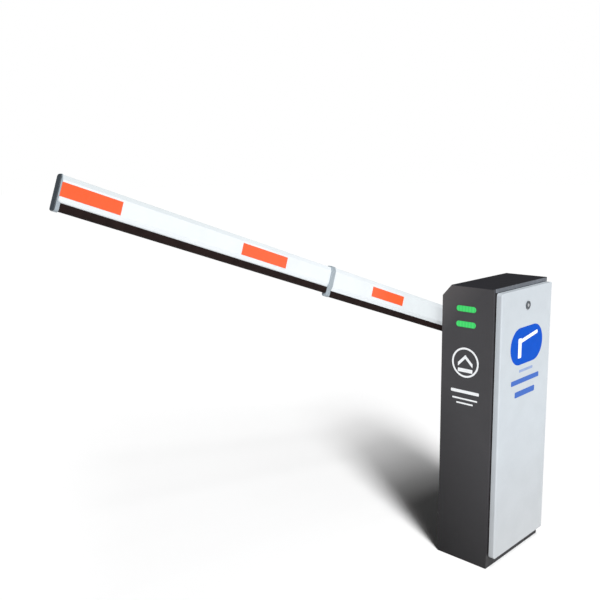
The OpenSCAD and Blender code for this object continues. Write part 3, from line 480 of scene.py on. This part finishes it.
# Bevel width, and the nodes that have it
EDGES = {
    0.0002: ["root_reflectors", "tip_reflectors"],
    0.0005: ["top_cover", "lock_body", "end_band", "terminal_block", "circuit_breaker", "door_stiffeners",
             "door_knuckles", "door_hinge_leaves", "position_disc", "power_supply", "din_rail"],
    0.0008: ["cabinet_shell", "door_panel", "base_plate", "machine_plate", "control_box", "control_box_lid",
             "lock_cam", "position_sensor", "shaft_bearings", "motor_end_cap", "clamp_bolts", "drive_bolts",
             "plate_standoffs", "spring_anchor", "stop_studs", "drip_strip"],
    0.0010: ["joint_collar", "end_cap", "upper_light_lens", "lower_light_lens", "arm_bracket", "clamp_plate",
             "shaft_rosette", "shaft_flange", "main_shaft", "connecting_rod", "rod_lever", "spring_collar",
             "cable_grommet", "door_gasket", "stop_buffers", "root_bumper", "tip_bumper", "motor_body"],
    0.0014: ["root_boom", "tip_boom", "gearbox_cover", "gearbox_housing", "bearing_housing"],
}
for width, names in EDGES.items():
    for name in names:
        soften(name, width)


# ---------------------------------------------------------------- floor, world and lights
FLOOR_SIZE = 80
FLOOR_DROP = 0.0005
WORLD_SEEN, WORLD_LIGHT = 1.0, 0.045
LIGHT_STRENGTH = 3.30
LIGHT_HEADING = (0.495, 0.869)
LIGHT_SPREAD = 12
# Each sun's elevation in degrees, and its share of the light
SUNS = ((68, 0.12), (58, 0.185), (48, 0.21), (39, 0.29), (31, 0.195))


def make_stage():
    """A pale floor, and a world that is white to look at but gives only a weak light."""
    bpy.ops.mesh.primitive_plane_add(size=FLOOR_SIZE, location=(0, 0, -FLOOR_DROP))
    floor = bpy.context.object
    floor.name = "floor"
    g = Graph("floor")
    g.set(Base_Color=(0.93, 0.93, 0.93), Roughness=0.9, Specular_IOR_Level=0.0)
    floor.data.materials.append(g.mat)

    world = bpy.data.worlds.new("studio")
    bpy.context.scene.world = world
    world.use_nodes = True
    tree = world.node_tree
    soft = tree.nodes["Background"]
    soft.inputs["Strength"].default_value = WORLD_LIGHT
    seen = tree.nodes.new("ShaderNodeBackground")
    seen.inputs["Strength"].default_value = WORLD_SEEN
    for bg in (soft, seen):
        bg.inputs["Color"].default_value = (1.0, 1.0, 1.0, 1)
    path = tree.nodes.new("ShaderNodeLightPath")
    mix = tree.nodes.new("ShaderNodeMixShader")
    tree.links.new(path.outputs["Is Camera Ray"], mix.inputs["Fac"])
    tree.links.new(soft.outputs[0], mix.inputs[1])
    tree.links.new(seen.outputs[0], mix.inputs[2])
    tree.links.new(mix.outputs[0], tree.nodes["World Output"].inputs["Surface"])


def light_group(name, objects, state):
    """A collection that links lights to these objects, or keeps lights off them."""
    group = bpy.data.collections.new(name)
    for obj in objects:
        group.objects.link(obj)
    for member in group.collection_objects:
        member.light_linking.link_state = state
    return group


def tall_softbox():
    """A tall, narrow light made of suns one above the other: crisp shadow sides, a long fading end.

    The arm has its own copy of it, so that the cabinet doesn't darken the arm's root.
    """
    arm = [nodes[n] for n in ("root_boom", "root_bumper", "root_reflectors", "joint_collar", "tip_boom",
                              "tip_bumper", "tip_reflectors", "end_band", "end_cap")]
    only_arm = light_group("only_arm", arm, "INCLUDE")
    not_arm = light_group("not_arm", arm, "EXCLUDE")
    for elevation, share in SUNS:
        e = math.radians(elevation)
        travel = Vector((LIGHT_HEADING[0] * math.cos(e), LIGHT_HEADING[1] * math.cos(e), -math.sin(e)))
        for use in ("room", "arm"):
            light = bpy.data.lights.new("%s_light_%d" % (use, elevation), "SUN")
            light.energy = LIGHT_STRENGTH * share / math.sin(e)
            light.angle = math.radians(LIGHT_SPREAD)
            obj = bpy.data.objects.new(light.name, light)
            bpy.context.collection.objects.link(obj)
            obj.rotation_euler = travel.to_track_quat("-Z", "Y").to_euler()
            if use == "arm":
                obj.light_linking.receiver_collection = only_arm
                obj.light_linking.blocker_collection = only_arm
            else:
                obj.light_linking.receiver_collection = not_arm


make_stage()
bpy.context.scene.view_settings.view_transform = "Standard"
tall_softbox()
